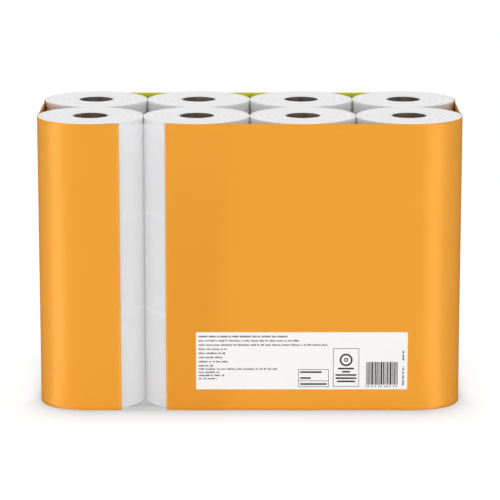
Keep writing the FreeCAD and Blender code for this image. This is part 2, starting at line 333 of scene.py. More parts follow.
# %% [markdown]
# ## Grids into meshes
#
# Every new surface here is a grid: points in rows and columns, filled by one formula as
# whole arrays. Two helpers turn such a grid into a mesh. One numbers its four-cornered
# faces, and wraps round where the surface is closed. The other writes points, faces and a
# UV map, shades it smooth and hangs it on the frame's body. Rolls and cores are both a
# section carried round an upright axis, so they share two more.

# %% Helpers for grids and pieces


def grid_faces(rows, columns, closed=True):
    """Faces of a grid of rows times columns points, whose last row joins the first, and
    its last column too if it is closed. Each face takes the point (i, j), the next in its
    column, the one beyond both, and the next in its row."""
    i, j = np.arange(rows), np.arange(columns if closed else columns - 1)
    i, j = np.meshgrid(i, j, indexing="ij")
    here, below, beside = i * columns, (i + 1) % rows * columns, (j + 1) % columns
    corners = [here + j, below + j, below + beside, here + beside]
    return np.stack(corners, axis=-1).reshape(-1, 4)


def grid_uv(u, v):
    """UV of every face corner, where u has one value per column edge and v one per row
    edge; a direction that closes needs one value more than it has points."""
    i = np.arange(len(v) - 1)
    j = np.arange(len(u) - 1)
    i, j = np.meshgrid(i, j, indexing="ij")
    corners = [(i, j), (i + 1, j), (i + 1, j + 1), (i, j + 1)]
    flat = [np.stack([u[b], v[a]], axis=-1) for a, b in corners]
    return np.stack(flat, axis=-2).reshape(-1, 2)


def ring_faces(around, length):
    """Faces and UV of a closed section carried round an axis; the UV is in turns and in
    lengths, which hold one value for each point and one for the first again."""
    faces = grid_faces(len(length) - 1, around)[:, ::-1]
    uv = grid_uv(np.arange(around + 1) / around, length)
    return faces, uv.reshape(-1, 4, 2)[:, ::-1].reshape(-1, 2)


def ring_points(centre, radius, height, angle):
    """Points of a section at each angle round an upright axis."""
    x = centre[0] + radius * np.cos(angle)
    y = centre[1] + radius * np.sin(angle)
    return np.stack([x, y, height + 0 * angle], axis=-1)


def make_piece(name, points, faces, materials, replaced, uv=None, face_material=None):
    """A smooth mesh from arrays, with its materials given by name, riding on the one body
    and standing for CAD nodes."""
    mesh = bpy.data.meshes.new(name)
    mesh.from_pydata(points.reshape(-1, 3), [], faces)
    if uv is not None:
        mesh.uv_layers.new(name="UVMap").uv.foreach_set("vector", uv.astype(np.float32).ravel())
    mesh.polygons.foreach_set("use_smooth", np.ones(len(faces), bool))
    for material in materials:
        mesh.materials.append(MATERIALS[material])
    if face_material is not None:
        mesh.polygons.foreach_set("material_index", face_material.astype(np.int32))
    mesh.update()
    piece = bpy.data.objects.new(name, mesh)
    bpy.context.scene.collection.objects.link(piece)
    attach(piece, "root")
    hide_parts(*replaced)
    return piece


# %% [markdown]
# ## Shared effects
#
# Three effects come back in several materials, so each is a node group built once: paper
# fibre, a fine fuzz that every paper and board surface has; the lines of wound turns,
# which show on the ends of rolls; and the faint ripple of stretched film, long along the
# pack and short up it. A group gives out only heights and masks, and each material keeps
# its own shader.

# %% Build the node groups


def new_group(name, inputs, outputs):
    """An empty group with inputs (name, socket kind, start value) and plain outputs."""
    group = bpy.data.node_groups.new(name, "ShaderNodeTree")
    for label, kind, value in inputs:
        socket = group.interface.new_socket(name=label, in_out="INPUT", socket_type=kind)
        if value is not None:
            socket.default_value = value
    for label in outputs:
        group.interface.new_socket(name=label, in_out="OUTPUT", socket_type="NodeSocketFloat")
    start = group.nodes.new("NodeGroupInput")
    end = group.nodes.new("NodeGroupOutput")
    return group, start, end


def noise_node(tree, vector, scale, detail=2.0, roughness=0.5):
    """Noise from about 0 to 1 at a scale per metre."""
    node = tree.nodes.new("ShaderNodeTexNoise")
    node.inputs["Detail"].default_value = detail
    node.inputs["Roughness"].default_value = roughness
    tree.links.new(vector, node.inputs["Vector"])
    if isinstance(scale, (int, float)):
        node.inputs["Scale"].default_value = scale
    else:
        tree.links.new(scale, node.inputs["Scale"])
    return node.outputs["Fac"]


def build_fibre():
    """Fibre height: fine noise at the given scale over coarser noise a seventh of it."""
    group, start, end = new_group(
        "paper_fibre",
        [("Vector", "NodeSocketVector", None), ("Scale", "NodeSocketFloat", 900.0)],
        ["Height", "Mottle"],
    )
    vector, scale = start.outputs["Vector"], start.outputs["Scale"]
    fine = noise_node(group, vector, scale, 4.0, 0.65)
    coarse = noise_node(group, vector, math_node(group, "MULTIPLY", scale, 1 / 7))
    both = math_node(group, "ADD", math_node(group, "MULTIPLY", fine, 0.6), coarse)
    group.links.new(both, end.inputs["Height"])
    group.links.new(coarse, end.inputs["Mottle"])
    return group


def build_turns():
    """Turn height: a triangle wave of the section length v less the spiral's advance u,
    divided by the thickness of one turn; and bands where turns lie looser or tighter."""
    group, start, end = new_group(
        "wound_turns",
        [("UV", "NodeSocketVector", None), ("Thickness", "NodeSocketFloat", 0.32 * MM)],
        ["Height", "Bands"],
    )
    axes = split_axes(group, start.outputs["UV"])
    turns = math_node(group, "DIVIDE", axes["Y"], start.outputs["Thickness"])
    phase = math_node(group, "SUBTRACT", turns, axes["X"])
    wave = math_node(group, "PINGPONG", phase, 0.5)
    group.links.new(math_node(group, "MULTIPLY", wave, 2.0), end.inputs["Height"])
    across = group.nodes.new("ShaderNodeCombineXYZ")
    group.links.new(axes["Y"], across.inputs["Y"])
    group.links.new(noise_node(group, across.outputs[0], 420.0, 3.0, 0.6), end.inputs["Bands"])
    return group


def build_ripple():
    """Film height: noise drawn out along X and Y, so its ridges lie level, over a soft
    cloud, because shrunk film is tight round the pack and slack up it."""
    group, start, end = new_group(
        "film_ripple",
        [("Vector", "NodeSocketVector", None)],
        ["Height", "Cloud"],
    )
    stretch = group.nodes.new("ShaderNodeMapping")
    stretch.inputs["Scale"].default_value = (1.0, 1.0, 5.0)
    group.links.new(start.outputs["Vector"], stretch.inputs["Vector"])
    ridges = noise_node(group, stretch.outputs[0], 26.0, 3.0)
    cloud = noise_node(group, start.outputs["Vector"], 14.0)
    both = math_node(group, "ADD", math_node(group, "MULTIPLY", ridges, 0.25), cloud)
    group.links.new(both, end.inputs["Height"])
    group.links.new(cloud, end.inputs["Cloud"])
    return group


FIBRE = build_fibre()
TURNS = build_turns()
RIPPLE = build_ripple()
print("node groups", [g.name for g in (FIBRE, TURNS, RIPPLE)])

# %% [markdown]
# ## Materials
#
# Tissue is matt and a little fluffy, so it has a high roughness, a trace of sheen and a
# bump of fibres; its sides carry small pressed dots, and its ends show the turns. Core
# board is grey-brown with flecks. The inks are satin: a film's skin over flat colour, so
# a soft highlight lies on a saturated base. The bare film is nearly invisible, and shows
# only where light catches it.

# %% Helpers for materials


def new_material(name, colour, roughness, **values):
    """A Principled material whose plain values are set on the shader's own sockets."""
    material = bpy.data.materials.new(name)
    material.use_nodes = True
    shader = material.node_tree.nodes["Principled BSDF"]
    shader.inputs["Base Color"].default_value = (*colour, 1)
    shader.inputs["Roughness"].default_value = roughness
    for label, value in values.items():
        shader.inputs[label.replace("_", " ")].default_value = value
    return material, material.node_tree, shader


def place_group(tree, group, kind="Object", **values):
    """A group in a material, fed by coordinates of a kind and by plain numbers."""
    vector = coordinates(tree, kind)
    node = tree.nodes.new("ShaderNodeGroup")
    node.node_tree = group
    tree.links.new(vector, node.inputs[0])
    for label, value in values.items():
        node.inputs[label].default_value = value
    return node


def add_bump(tree, shader, height, distance, strength, under=None):
    """Bends the shader's normal by a height in metres, over another bump if given."""
    bump = tree.nodes.new("ShaderNodeBump")
    bump.inputs["Strength"].default_value = strength
    bump.inputs["Distance"].default_value = distance
    tree.links.new(height, bump.inputs["Height"])
    if under is not None:
        tree.links.new(under.outputs["Normal"], bump.inputs["Normal"])
    tree.links.new(bump.outputs["Normal"], shader.inputs["Normal"])
    return bump


def mix_colours(tree, factor, first, second):
    """A colour between two, each a tone or a socket."""
    mix = tree.nodes.new("ShaderNodeMix")
    mix.data_type = "RGBA"
    tree.links.new(factor, mix.inputs["Factor"])
    for label, colour in (("A", first), ("B", second)):
        if isinstance(colour, tuple):
            mix.inputs[label].default_value = (*colour, 1)
        else:
            tree.links.new(colour, mix.inputs[label])
    return mix.outputs["Result"]


def vary_colour(tree, shader, mask, low, high, dark, light):
    """Base colour between two tones, by where a mask lies between low and high."""
    spread = tree.nodes.new("ShaderNodeMapRange")
    spread.inputs["From Min"].default_value = low
    spread.inputs["From Max"].default_value = high
    tree.links.new(mask, spread.inputs["Value"])
    colour = mix_colours(tree, spread.outputs["Result"], dark, light)
    tree.links.new(colour, shader.inputs["Base Color"])
    return colour


# %% Make tissue and board
TISSUE = (0.92, 0.92, 0.925)
TISSUE_DIM = (0.895, 0.895, 0.90)
TISSUE_BAND = (0.83, 0.83, 0.84)
TISSUE_RIM_HIGHLIGHT = (1.0, 1.0, 1.0)
RIM_HIGHLIGHT_WIDTH = 3.0 * MM
BOARD = (0.27, 0.205, 0.155)
BOARD_DARK = (0.105, 0.074, 0.055)
BOARD_EDGE_HIGHLIGHT = (0.66, 0.63, 0.60)
BOARD_STRIP = 60 * MM
DOT_SPACING = 4.2 * MM
TURN_THICKNESS = 0.32 * MM
SIDE_MIDDLE = (ROLL_RADIUS - CORE_RADIUS) + ROLL_HEIGHT / 2


def tissue_side():
    """Side of a roll: fibres over rows of pressed dots, and a painted highlight that whitens
    its two rims, where the rounded edges catch the light. The UV map is in turns and in
    metres, so the dots' row length is one roll's circumference in whole dots."""
    material, tree, shader = new_material(
        "tissue_side", TISSUE, 0.92, Sheen_Weight=0.08, Specular_IOR_Level=0.25
    )
    fibre = place_group(tree, FIBRE, Scale=900.0)
    base = vary_colour(tree, shader, fibre.outputs["Mottle"], 0.35, 0.65, TISSUE_DIM, TISSUE)
    axes = split_axes(tree, coordinates(tree, "UV"))
    # Painted highlight: the colour goes to white within a few millimetres of each rim.
    rim = math_node(tree, "ABSOLUTE", math_node(tree, "SUBTRACT", axes["Y"], SIDE_MIDDLE))
    rim = smooth_range(tree, rim, ROLL_HEIGHT / 2 - RIM_HIGHLIGHT_WIDTH, ROLL_HEIGHT / 2 - RIM_HIGHLIGHT_WIDTH / 2)
    tree.links.new(mix_colours(tree, rim, base, TISSUE_RIM_HIGHLIGHT), shader.inputs["Base Color"])
    around = round(2 * math.pi * ROLL_RADIUS / DOT_SPACING)
    along = math_node(tree, "DIVIDE", axes["Y"], DOT_SPACING)
    across = math_node(tree, "MULTIPLY", axes["X"], around)
    waves = []
    for way in ("ADD", "SUBTRACT"):
        slanting = math_node(tree, "MULTIPLY", math_node(tree, way, along, across), math.pi)
        waves.append(math_node(tree, "COSINE", slanting))
    product = math_node(tree, "MULTIPLY", waves[0], waves[1])
    dots = math_node(tree, "POWER", math_node(tree, "ABSOLUTE", product), 3.0)
    pressed = add_bump(tree, shader, math_node(tree, "SUBTRACT", 1.0, dots), 0.25 * MM, 0.5)
    add_bump(tree, shader, fibre.outputs["Height"], 0.15 * MM, 0.6, pressed)
    return material


def tissue_end():
    """End of a roll: the edges of its turns, in bands that lie a little apart."""
    material, tree, shader = new_material(
        "tissue_end", TISSUE, 0.95, Sheen_Weight=0.08, Specular_IOR_Level=0.2
    )
    turns = place_group(tree, TURNS, "UV", Thickness=TURN_THICKNESS)
    fibre = place_group(tree, FIBRE, Scale=1400.0)
    vary_colour(tree, shader, turns.outputs["Bands"], 0.3, 0.7, TISSUE_BAND, TISSUE)
    edges = add_bump(tree, shader, turns.outputs["Height"], 0.08 * MM, 0.6)
    bands = add_bump(tree, shader, turns.outputs["Bands"], 0.5 * MM, 0.5, edges)
    add_bump(tree, shader, fibre.outputs["Height"], 0.15 * MM, 0.5, bands)
    return material


def core_board():
    """Core: grey-brown board with flecks, wound from a strip whose seam runs round it."""
    material, tree, shader = new_material("core_board", BOARD, 0.9, Specular_IOR_Level=0.2)
    fibre = place_group(tree, FIBRE, Scale=700.0)
    vary_colour(tree, shader, fibre.outputs["Height"], 0.55, 1.05, BOARD_DARK, BOARD)
    axes = split_axes(tree, coordinates(tree, "UV"))
    climb = math_node(tree, "DIVIDE", axes["Y"], BOARD_STRIP)
    phase = math_node(tree, "FRACT", math_node(tree, "SUBTRACT", climb, axes["X"]))
    seam = math_node(tree, "LESS_THAN", phase, 0.02)
    ply = add_bump(tree, shader, seam, 0.2 * MM, 0.6)
    add_bump(tree, shader, fibre.outputs["Height"], 0.2 * MM, 0.6, ply)
    return material


def board_edge():
    """Cut end of a core: paler than the board, a painted highlight on its thin rims, with
    tissue-toned mottle.
    """
    material, tree, shader = new_material("board_edge", BOARD_EDGE_HIGHLIGHT, 0.95, Specular_IOR_Level=0.2)
    fibre = place_group(tree, FIBRE, Scale=1600.0)
    vary_colour(tree, shader, fibre.outputs["Mottle"], 0.35, 0.65, TISSUE_DIM, BOARD_EDGE_HIGHLIGHT)
    add_bump(tree, shader, fibre.outputs["Height"], 0.2 * MM, 0.6)
    return material


# %% Make film and inks
FILM_TINT = (0.93, 0.955, 0.985)
RIPPLE_DEPTH = 1.2 * MM
ORANGE = (0.808, 0.335, 0.033)
ORANGE_SHADED = (0.745, 0.295, 0.026)
ORANGE_GLOSS = (1.0, 0.85, 0.38)
YELLOW = (0.96, 0.91, 0.05)
YELLOW_GLOSS = (1.0, 0.95, 0.5)
WHITE_INK = (0.865, 0.872, 0.882)
DARK_INK = (0.03, 0.028, 0.026)
INK_SHADE = 0.975
# Painted shade beside the window: its middle, its half width, the share left fully shaded, and how
# much fades out high up.
SHADE_MIDDLE = WINDOW_RIGHT + 18 * MM
SHADE_HALF = 62 * MM
SHADE_CORE = 0.3
SHADE_HIGH = 0.7
CLEAR_ALPHA = 0.22
SLANT_ALPHA = 0.45


def clear_film():
    """Bare film: clear from the front and milkier where it is seen at a slant."""
    material, tree, shader = new_material("clear_film", FILM_TINT, 0.16)
    ripple = place_group(tree, RIPPLE)
    add_bump(tree, shader, ripple.outputs["Height"], RIPPLE_DEPTH, 0.35)
    facing = tree.nodes.new("ShaderNodeLayerWeight")
    facing.inputs["Blend"].default_value = 0.25
    alpha = tree.nodes.new("ShaderNodeMapRange")
    alpha.inputs["To Min"].default_value = CLEAR_ALPHA
    alpha.inputs["To Max"].default_value = SLANT_ALPHA
    tree.links.new(facing.outputs["Facing"], alpha.inputs["Value"])
    tree.links.new(alpha.outputs["Result"], shader.inputs["Alpha"])
    return material


def ink(name, colour, gloss, roughness=0.34, deep=None):
    """Ink on film: flat colour whose gloss takes some of it, rippled as the film is, with
    painted shade: a little darker where the ripple's cloud is low, and, where a shaded
    colour is given, darker beside the window's lower part."""
    material, tree, shader = new_material(name, colour, roughness)
    shader.inputs["Specular Tint"].default_value = (*gloss, 1)
    ripple = place_group(tree, RIPPLE)
    # Painted shade: the ink is up to INK_SHADE darker where the ripple's cloud is low.
    dark = tuple(INK_SHADE * c for c in colour)
    flat = vary_colour(tree, shader, ripple.outputs["Cloud"], 0.3, 0.7, dark, colour)
    # Painted shade: the ink is darkened beside the window's lower part, fading away sideways and
    # upwards.
    if deep is not None:
        axes = split_axes(tree, coordinates(tree, "Object"))
        away = math_node(tree, "ABSOLUTE", math_node(tree, "SUBTRACT", axes["X"], SHADE_MIDDLE))
        clear = smooth_range(tree, away, SHADE_HALF * SHADE_CORE, SHADE_HALF)
        high = smooth_range(tree, axes["Z"], SHADE_CORE * PACK_HEIGHT, PACK_HEIGHT)
        clear = math_node(tree, "MAXIMUM", clear, math_node(tree, "MULTIPLY", high, SHADE_HIGH))
        tree.links.new(mix_colours(tree, clear, deep, flat), shader.inputs["Base Color"])
    add_bump(tree, shader, ripple.outputs["Height"], RIPPLE_DEPTH, 0.3)
    return material


MATERIALS = {
    "tissue_side": tissue_side(),
    "tissue_end": tissue_end(),
    "core_board": core_board(),
    "board_edge": board_edge(),
    "clear_film": clear_film(),
    "orange_ink": ink("orange_ink", ORANGE, ORANGE_GLOSS, deep=ORANGE_SHADED),
    "yellow_ink": ink("yellow_ink", YELLOW, YELLOW_GLOSS),
    "white_ink": ink("white_ink", WHITE_INK, (1, 1, 1)),
    "dark_ink": ink("dark_ink", DARK_INK, (1, 1, 1), 0.5),
}
print("materials", sorted(MATERIALS))

# %% [markdown]
# ## Rolls
#
# A roll is a thick ring. It could be a cylinder with a hole, but a wound roll has soft
# edges, ends on which groups of turns stand a little in or out, and an outside that isn't
# quite round and steps down where the last sheet ends. So its half section is drawn as
# points in radius and height, carried round the axis, and pushed in by small waves that
# differ from roll to roll. Every push is inwards, which keeps each roll clear of its
# neighbours and of the film.

# %% Draw a roll's half section
AROUND = 128
RING_SPACING = 7 * MM
RING_DEPTH = 0.25 * MM
RING_SPREAD = 0.55 * MM
EDGE_ROUND = 0.6 * MM
BORE_ROUND = 0.6 * MM
RING_RADII = CORE_RADIUS + RING_SPACING * np.arange(1, 5)


def quarter(centre_r, centre_z, radius, start, steps):
    """Points of a quarter round about a centre, from an angle in degrees, turning left."""
    angle = np.radians(start + np.linspace(0, 90, steps))
    return np.stack([centre_r + radius * np.cos(angle), centre_z + radius * np.sin(angle)], axis=1)


def end_radii():
    """Radii on a roll's end: close together at each ring and one between two rings."""
    near = np.array([-1.1, -0.6, -0.3, 0.0, 0.3, 0.6, 1.1]) * MM
    rings = (RING_RADII[:, None] + near).ravel()
    between = RING_RADII[:-1] + RING_SPACING / 2
    return np.sort(np.concatenate([rings, between, [CORE_RADIUS + RING_SPACING / 2]]))


def ring_dip(radius):
    """Depth of an end at a radius: one soft notch, exp of minus distance squared, a ring."""
    away = (radius[:, None] - RING_RADII) / RING_SPREAD
    return RING_DEPTH * np.exp(-(away**2)).sum(axis=1)


def roll_section():
    """Radius, height, and whether each point lies on an end, from the bore's foot out
    along the lower end, up the side, in along the upper end and down the bore."""
    low_r = end_radii()
    inner = quarter(CORE_RADIUS + BORE_ROUND, BORE_ROUND, BORE_ROUND, 180, 3)
    lower = np.stack([low_r, ring_dip(low_r)], axis=1)
    edge = quarter(ROLL_RADIUS - EDGE_ROUND, EDGE_ROUND, EDGE_ROUND, 270, 6)
    side_z = np.linspace(0, ROLL_HEIGHT, 12)[1:-1]
    side = np.stack([np.full_like(side_z, ROLL_RADIUS), side_z], axis=1)
    bottom = np.concatenate([inner, lower, edge])
    top = bottom[::-1] * [1, -1] + [0, ROLL_HEIGHT]
    bore = np.stack([np.full(3, CORE_RADIUS), np.linspace(0.75, 0.25, 3) * ROLL_HEIGHT], axis=1)
    section = np.concatenate([bottom, side, top, bore])
    radius, height = section.T
    on_end = (height < EDGE_ROUND * 0.3) | (height > ROLL_HEIGHT - EDGE_ROUND * 0.3)
    return radius, height, on_end & (radius < ROLL_RADIUS - EDGE_ROUND * 0.5)


# %% Make the rolls
SECTION_R, SECTION_Z, SECTION_END = roll_section()
TAIL_STEP = 0.25 * MM
END_WAVE = 0.14 * MM
SIDE_WAVE = 0.22 * MM
RING_DRIFT = 0.3 * MM
WINDOW_TAIL = math.radians(100)
TAIL_SPREAD = 0.5


def roll_points(centre, rng, tail):
    """Grid of a roll: the section at each angle, pushed in by three small terms.

    Side: half of one minus the cosine of twice and three times the angle, plus the last
    turn's thickness, which grows round from the tail; nothing where the roll touches its
    neighbours, at each quarter turn. Ends: the same sort of wave in the angle, turning
    slowly with the radius. Rings: each is moved in and out by the cosine of the angle, as
    turns are never quite concentric.
    """
    angle = np.arange(AROUND) * (2 * math.pi / AROUND)
    r, z = SECTION_R[:, None], SECTION_Z[:, None]
    phases = rng.uniform(0, 2 * math.pi, 5)
    outer = np.clip((r - CORE_RADIUS) / (ROLL_RADIUS - CORE_RADIUS), 0, 1)
    wave = 2 - np.cos(2 * angle + phases[0]) - np.cos(3 * angle + phases[1])
    since_tail = ((angle - tail) % (2 * math.pi)) / (2 * math.pi)
    free = 1 - np.cos(2 * angle) ** 8
    inwards = (SIDE_WAVE * wave / 4 + TAIL_STEP * since_tail) * free
    off_centre = RING_DRIFT * np.cos(angle + phases[2]) * np.sin(math.pi * outer)
    radius = r - inwards * outer**4 + off_centre
    dip = END_WAVE * (1 - np.cos(2 * angle + phases[3] + 60 * (r - CORE_RADIUS))) / 2
    dip = dip + END_WAVE * (1 - np.cos(phases[4] + 5 * math.pi * outer)) / 2
    half = ROLL_HEIGHT / 2
    share = np.abs(z - half) / half
    height = z - np.sign(z - half) * dip * share**8 * np.sin(math.pi * outer) ** 0.5
    return ring_points(centre, radius, centre[2] + height, angle)


def section_length():
    """Length along the section to each point and once round to the first again."""
    r, z = np.append(SECTION_R, SECTION_R[0]), np.append(SECTION_Z, SECTION_Z[0])
    return np.concatenate([[0], np.cumsum(np.hypot(np.diff(r), np.diff(z)))])


def make_roll(where, seed):
    """One roll's paper in place of its CAD node."""
    low, high = node_box("roll_" + where)
    rng = np.random.default_rng(seed)
    tail = WINDOW_TAIL + rng.uniform(-TAIL_SPREAD, TAIL_SPREAD)
    centre = ((low[0] + high[0]) / 2, (low[1] + high[1]) / 2, low[2])
    points = roll_points(centre, rng, tail)
    faces, uv = ring_faces(AROUND, section_length())
    following = np.roll(SECTION_END, -1)
    face_end = np.repeat(SECTION_END & following, AROUND)
    looks = ["tissue_side", "tissue_end"]
    name, node = "paper_" + where, "roll_" + where
    make_piece(name, points, faces, looks, [node], uv, face_end)


for number, place in enumerate(PLACES, 1):
    make_roll(place, number)
print(len(PLACES), "rolls of", len(SECTION_R) * AROUND, "faces each")

# %% [markdown]
# ## Cores
#
# The core is a tube of board wound in a spiral, cut with the paper and pushed in a little
# by the saw. Its section is a thin upright rectangle with softened corners, carried round
# the same way, with a UV map in turns and metres so that the strip's seam climbs it.

# %% Make the cores
CORE_AROUND = 96
CORE_ROUND = 0.25 * MM
CORE_SLIP = 0.05 * MM


def core_section(foot, head):
    """Corners of the tube's wall, each a quarter round, and points down its inner face."""
    inside, outside = CORE_RADIUS - CORE_WALL, CORE_RADIUS - CORE_SLIP
    near, far = inside + CORE_ROUND, outside - CORE_ROUND
    low, high = foot + CORE_ROUND, head - CORE_ROUND
    corners = ((near, low, 180), (far, low, 270), (far, high, 0), (near, high, 90))
    turns = [quarter(r, z, CORE_ROUND, start, 3) for r, z, start in corners]
    heights = np.linspace(head, foot, 8)[1:-1]
    down = np.stack([np.full(6, inside), heights], axis=1)
    return np.concatenate([*turns, down])


def make_core(where):
    low, high = node_box("core_" + where)
    section = core_section(low[2], high[2])
    angle = np.arange(CORE_AROUND) * (2 * math.pi / CORE_AROUND)
    points = ring_points((low + high) / 2, section[:, :1], section[:, 1:], angle)
    faces, uv = ring_faces(CORE_AROUND, np.append(section[:, 1], section[0, 1]))
    board = ["core_board", "board_edge"]
    # Faces between the two quarter rounds of an end: the second to the fourth, twice.
    rows = np.arange(len(section))
    on_end = np.repeat(np.isin(rows, (1, 2, 3, 7, 8, 9)), CORE_AROUND)
    make_piece("tube_" + where, points, faces, board, ["core_" + where], uv, on_end)


for place in PLACES:
    make_core(place)
print(len(PLACES), "cores, each", CORE_AROUND, "faces round")

# %% [markdown]
# ## The sleeve's path
#
# Film pulled round a block of rolls takes the shortest way: straight from roll to roll and
# round the four corner rolls. So a point of the sleeve is given by how far along that loop
# it lies, how high it is and how far out it stands. The loop starts where the label side
# leaves its left corner and runs to the right. Between the rolls the film is free to lean
# in a little; on a roll it can't.

# %% Work out the loop
ARC = math.pi / 2 * FILM_REACH
LONG = 2 * CORNER_X
SHORT = 2 * CORNER_Y
LOOP = 2 * LONG + 2 * SHORT + 4 * ARC
# Start of each straight, in order: label side, right end, display side, left end.
STRAIGHTS = (0, LONG + ARC, LONG + SHORT + 2 * ARC, 2 * LONG + SHORT + 3 * ARC)
LENGTHS = (LONG, SHORT, LONG, SHORT)
STARTS = ((-1, -1), (1, -1), (1, 1), (-1, 1))
WAYS = ((1, 0), (0, 1), (-1, 0), (0, -1))


def loop_frame(s):
    """Point on the loop at no radius, and the outward direction, at a distance s.

    On a straight the point runs from one corner roll's centre to the next and the
    direction is square to it. On a corner the point stays at the centre, and the
    direction turns by the distance divided by the film's reach.
    """
    s = np.asarray(s, float) % LOOP
    x, y, turn = (np.zeros_like(s) for _ in range(3))
    for side, (start, length) in enumerate(zip(STRAIGHTS, LENGTHS)):
        here = (s >= start) & (s < start + length + ARC)
        along = np.clip(s - start, 0, length)
        x = np.where(here, STARTS[side][0] * CORNER_X + WAYS[side][0] * along, x)
        y = np.where(here, STARTS[side][1] * CORNER_Y + WAYS[side][1] * along, y)
        bend = np.clip(s - start - length, 0, ARC) / FILM_REACH
        turn = np.where(here, side * math.pi / 2 + bend, turn)
    return x, y, np.sin(turn), -np.cos(turn)


def room_behind(s):
    """Gap between the loop and the nearest roll: radius less the root of the radius
    squared less the distance from the roll squared, and nothing at a corner."""
    s = np.asarray(s, float) % LOOP
    room = np.zeros_like(s)
    for start, length in zip(STRAIGHTS, LENGTHS):
        here = (s >= start) & (s < start + length)
        along = (s - start) % PITCH
        away = np.minimum(along, PITCH - along)
        gap = ROLL_RADIUS - np.sqrt(np.maximum(ROLL_RADIUS**2 - away**2, 0))
        room = np.where(here, gap, room)
    return room


# %% [markdown]
# ## How the film leans in
#
# Four things pull it from the straight line: its free edges at top and bottom curl in
# between the rolls, most of all along the top of the far side; a slow cloud of slack lies
# over the wide faces; the bare window sags into the gap behind it; and the film creeps a
# hair into the joint between two tiers. The label's place is kept flat, because the ink
# there is a flat patch. At the foot the free edge is less tight, so it stands off the round
# corners a little and makes them squarer, and still doesn't pass the pack's greatest width.

# %% Work out how far the film leans in
SLACK_ROOM = 4 * MM
SLACK_SHARE = 0.9
EDGE_CURL = 0.7 * MM
EDGE_CURL_FADE = 9 * MM
FAR_CURL = 6.6 * MM
FAR_CURL_FADE = 22 * MM
CLOUD_DEPTH = 0.55 * MM
WINDOW_SAG = 2.4 * MM
WINDOW_SAG_HALF = 42 * MM
TIER_CREEP = 0.08 * MM
TIER_CREEP_WIDTH = 3 * MM
LABEL_FADE = 18 * MM
FOOT_FLARE = 3.0 * MM
FLARE_FADE = 16 * MM
LABEL_LOW, LABEL_HIGH = node_box("label_panel")
CLOUD_RNG = np.random.default_rng(5)
CLOUD_WAVES = [
    (*CLOUD_RNG.uniform(2, 9, 1), *CLOUD_RNG.uniform(4, 22, 1), *CLOUD_RNG.uniform(0, 6.28, 2))
    for _ in range(9)
]


def smooth_step(value):
    """Nought to one along three value squared less two value cubed."""
    value = np.clip(value, 0, 1)
    return value * value * (3 - 2 * value)


def cloud(s, z):
    """Slow hills from 0 to 1: a mean of sines in whole waves round the loop and in height."""
    total = 0
    for around, up, first, second in CLOUD_WAVES:
        level = np.sin(2 * math.pi * round(around) * s / LOOP + first)
        total = total + level * np.sin(up * z + second)
    return 0.5 + 0.5 * np.clip(total / 3, -1, 1)


def lean(s, z):
    """How far the film stands in from the straight loop, never out of it."""
    slack = smooth_step(room_behind(s) / SLACK_ROOM)
    from_edge = np.minimum(z, PACK_HEIGHT - z)
    curl = EDGE_CURL * np.exp(-from_edge / EDGE_CURL_FADE) * slack
    on_far_side = (s > STRAIGHTS[2]) & (s < STRAIGHTS[2] + LONG)
    curl = curl + FAR_CURL * np.exp((z - PACK_HEIGHT) / FAR_CURL_FADE) * slack * on_far_side
    drift = CLOUD_DEPTH * cloud(s, z) * slack
    joint = np.minimum(np.abs(z - ROLL_HEIGHT), np.abs(z - 2 * ROLL_HEIGHT))
    creep = TIER_CREEP * np.exp(-((joint / TIER_CREEP_WIDTH) ** 2))
    x = s - CORNER_X
    from_gap = np.clip(np.abs(x - (WINDOW_LEFT + WINDOW_RIGHT) / 2) / WINDOW_SAG_HALF, 0, 1)
    sag = WINDOW_SAG * (0.5 + 0.5 * np.cos(math.pi * from_gap)) * (s < LONG) * slack
    beside = np.maximum(np.maximum(LABEL_LOW[0] - x, x - LABEL_HIGH[0]), 0)
    over = np.maximum(np.maximum(LABEL_LOW[2] - z, z - LABEL_HIGH[2]), 0)
    off_label = smooth_step(np.hypot(beside, over) / LABEL_FADE)
    inwards = np.minimum(curl + drift + sag, SLACK_SHARE * room_behind(s)) + creep
    return inwards * np.where(s < LONG, off_label, 1)


def sleeve_point(s, z, reach):
    """Point of the sleeve at a distance along, a height and a reach from a corner roll.

    The flare at the foot goes with the square of the sine of twice the corner's angle,
    which is nothing on the straights and most half way round a corner.
    """
    x, y, out_x, out_y = loop_frame(s)
    out = reach - lean(s, z) + 4 * (out_x * out_y) ** 2 * FOOT_FLARE * np.exp(-z / FLARE_FADE)
    return np.stack([x + out * out_x, y + out * out_y, z + 0 * s], axis=-1)


# %% [markdown]
# ## Film and ink
#
# Each layer is a closed skin: an outer face, an inner face a fraction of a millimetre
# behind it, and rims that join them. The film is one endless band, clear in the window;
# elsewhere its ink shows through it, so from inside it has the ink's colour. Each field of
# ink is a stretch of band on the outside of it, cut exactly at the window's edges and at
# the far corners, where the colours change. The cut edge lies just under the rolls' ends.

# %% Cut the loop into its fields
STEP_ALONG = 3.2 * MM
STEP_UP = 4.2 * MM
LAYER_GAP = 0.03 * MM
EDGE_DROP = 0.4 * MM
WINDOW_START = WINDOW_LEFT + CORNER_X
WINDOW_END = WINDOW_RIGHT + CORNER_X
FAR_RIGHT = STRAIGHTS[2]
FAR_LEFT = STRAIGHTS[2] + LONG
FILM_THICKNESS = 0.2 * MM
FILM_INSIDE = FILM_REACH - FILM_THICKNESS
INK_INSIDE = FILM_REACH + LAYER_GAP


def even_steps(*ends):
    """Distances along the loop, evenly spaced between each two ends."""
    parts = []
    for start, stop in zip(ends[:-1], ends[1:]):
        count = int(math.ceil((stop - start) / STEP_ALONG))
        parts.append(np.linspace(start, stop, count + 1)[:-1])
    return np.concatenate([*parts, ends[-1:]])


# %% Make the film sleeve and its ink


